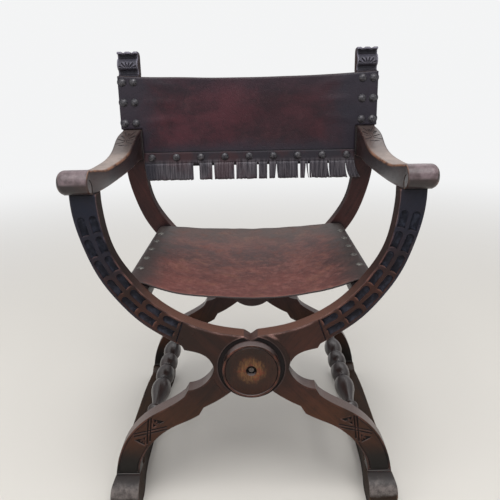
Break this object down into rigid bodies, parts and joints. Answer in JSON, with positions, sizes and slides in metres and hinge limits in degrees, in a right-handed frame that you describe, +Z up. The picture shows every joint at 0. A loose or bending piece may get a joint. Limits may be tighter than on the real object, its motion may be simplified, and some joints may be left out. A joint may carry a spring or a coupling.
{
  "type": "savonarola folding armchair",
  "caption": "Folding X-frame armchair with carved curved legs, scrolled arms, slung leather seat, and nailed leather back with a fringe.",
  "frame": {"origin": "on the floor, under the middle of the chair", "axes": "+X to the sitter's left, -Y to the front of the chair, +Z up"},
  "size_m": [0.671, 0.578, 0.9216],
  "materials": {
    "dark_oak": "old dark polished oak, worn at the edges",
    "iron": "aged dark iron",
    "nail_heads": "darkened dome-headed brass nails",
    "seat_hide": "worn red-brown hide, satin",
    "back_hide": "oxblood hide with blackened edges, satin",
    "fringe_hide": "dark oxblood hide cut into a fringe"
  },
  "bodies": {
    "left_half": {"front_leg_left": "dark_oak", "rear_leg_left": "dark_oak", "arm_left": "dark_oak", "seat_rail_left": "dark_oak", "runner_right": "dark_oak", "stretcher_right": "dark_oak", "front_boss": "dark_oak", "rear_boss": "dark_oak", "pivot_bolts": "iron", "pivot_nuts": "iron", "post_nails_left": "nail_heads", "seat_nails_left": "nail_heads", "seat_leather": "seat_hide", "back_leather": "back_hide", "back_fringe": "fringe_hide", "fringe_nails": "nail_heads"},
    "right_half": {"front_leg_right": "dark_oak", "rear_leg_right": "dark_oak", "arm_right": "dark_oak", "seat_rail_right": "dark_oak", "runner_left": "dark_oak", "stretcher_left": "dark_oak", "post_nails_right": "nail_heads", "seat_nails_right": "nail_heads"}
  },
  "joints": [
    {"name": "fold", "type": "hinge", "parent": "left_half", "child": "right_half", "pos_m": [0, 0, 0.3104], "axis": [0, -1, 0], "range_deg": [0, 44], "deforming": ["seat_leather", "back_leather", "back_fringe", "fringe_nails"]}
  ]
}
